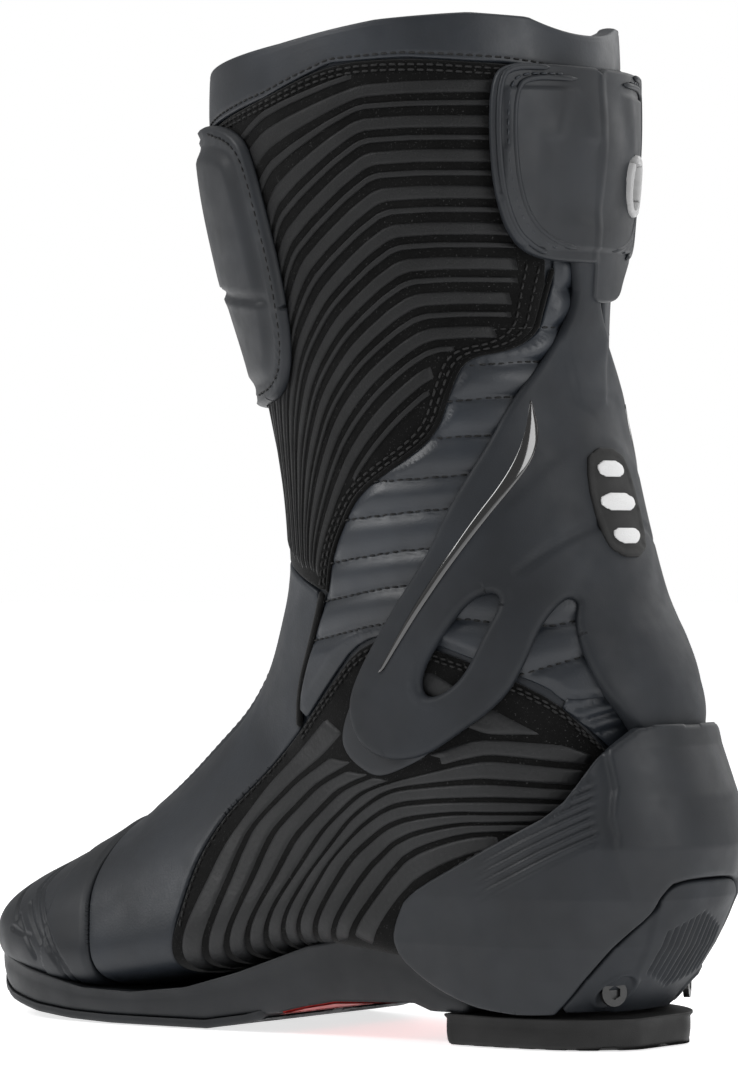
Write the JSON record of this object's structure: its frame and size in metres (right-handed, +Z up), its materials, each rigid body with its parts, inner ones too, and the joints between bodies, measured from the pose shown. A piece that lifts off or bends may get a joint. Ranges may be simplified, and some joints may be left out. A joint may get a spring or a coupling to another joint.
{
  "type": "riding boot",
  "caption": "Tall road-race riding boot for the right foot, with hinged ankle brace, shin guard, heel cup and sliders, and a zip under an outer flap.",
  "frame": {"origin": "on the ground, under the middle of the boot's box", "axes": "+Z up, toe towards -Y, heel towards +Y, inner side of the right foot towards +X"},
  "size_m": [0.1296, 0.298, 0.342],
  "materials": {
    "rubber": "matt moulded rubber",
    "tread": "matt moulded rubber",
    "arch_plate": "satin red",
    "leather": "satin smooth grain",
    "collar": "satin",
    "velvet": "napped with printed ribs",
    "quilt": "padded, stitched",
    "armour": "fine moulded grain",
    "brace": "matt moulded",
    "gloss": "polished",
    "badge": "reflective bars",
    "mesh": "woven",
    "foam": "foam under cloth",
    "board": "fibre board",
    "steel": "brushed",
    "dark_steel": "black oxide",
    "bracket": "satin grey"
  },
  "bodies": {
    "foot": {"outsole": "rubber", "forefoot_tread": "tread", "arch_plate": "arch_plate", "heel_tread": "tread", "foot_shell": "leather", "foot_lining": "mesh", "insole_board": "board", "steel_shank": "steel", "footbed": "foam", "foot_grip_panel": "velvet", "outer_foot_panel": "quilt", "vamp": "leather", "rear_ankle_panel": "quilt", "toe_cap": "armour", "heel_cup": "armour", "heel_slider": "armour", "heel_cushion": "foam", "heel_screw_inner": "dark_steel", "heel_screw_outer": "dark_steel", "toe_slider": "armour", "toe_screw_front": "dark_steel", "toe_screw_rear": "dark_steel", "ankle_pad_inner": "armour", "ankle_pad_outer": "armour", "pivot_stud_inner": "steel", "pivot_stud_outer": "steel", "front_gusset": "leather", "rear_bellows": "quilt"},
    "leg": {"leg_shell": "leather", "leg_lining": "mesh", "collar": "collar", "leg_grip_panel": "velvet", "quilted_panel_inner": "quilt", "outer_leg_panel_front": "leather", "outer_leg_panel_rear": "leather", "quilted_panel_outer": "quilt", "zip_tape": "mesh", "zip_teeth": "dark_steel", "loop_strip": "mesh", "flap_hinge_strip": "leather", "ankle_brace": "brace", "gloss_inlay_inner": "gloss", "gloss_inlay_outer": "gloss", "rear_badge": "badge", "shin_guard": "armour", "calf_panel": "armour", "strap_bracket": "bracket", "calf_strap": "mesh"},
    "flap": {"closure_flap": "armour", "hook_strip": "mesh"},
    "slider": {"zip_slider": "dark_steel"},
    "puller": {"zip_puller": "dark_steel"}
  },
  "joints": [
    {"name": "ankle_flex", "type": "hinge", "parent": "foot", "child": "leg", "pos_m": [0.00221, 0.051, 0.11], "axis": [1, 0, 0], "range_deg": [-12, 20], "stiffness_Nm_per_rad": 20, "deforming": ["front_gusset", "rear_bellows"]},
    {"name": "flap_hinge", "type": "hinge", "parent": "leg", "child": "flap", "pos_m": [-0.05201, 0.06539, 0.23489], "axis": [0.0751, 0.1155, -0.9905], "range_deg": [0, 110]},
    {"name": "zip_slide", "type": "slide", "parent": "leg", "child": "slider", "axis": [0.0715, 0.1143, -0.9909], "range_m": [0, 0.14]},
    {"name": "puller_hinge", "type": "hinge", "parent": "slider", "child": "puller", "pos_m": [-0.06241, 0.02819, 0.31266], "axis": [0.0178, 0.9931, 0.1159], "range_deg": [0, 90]}
  ]
}
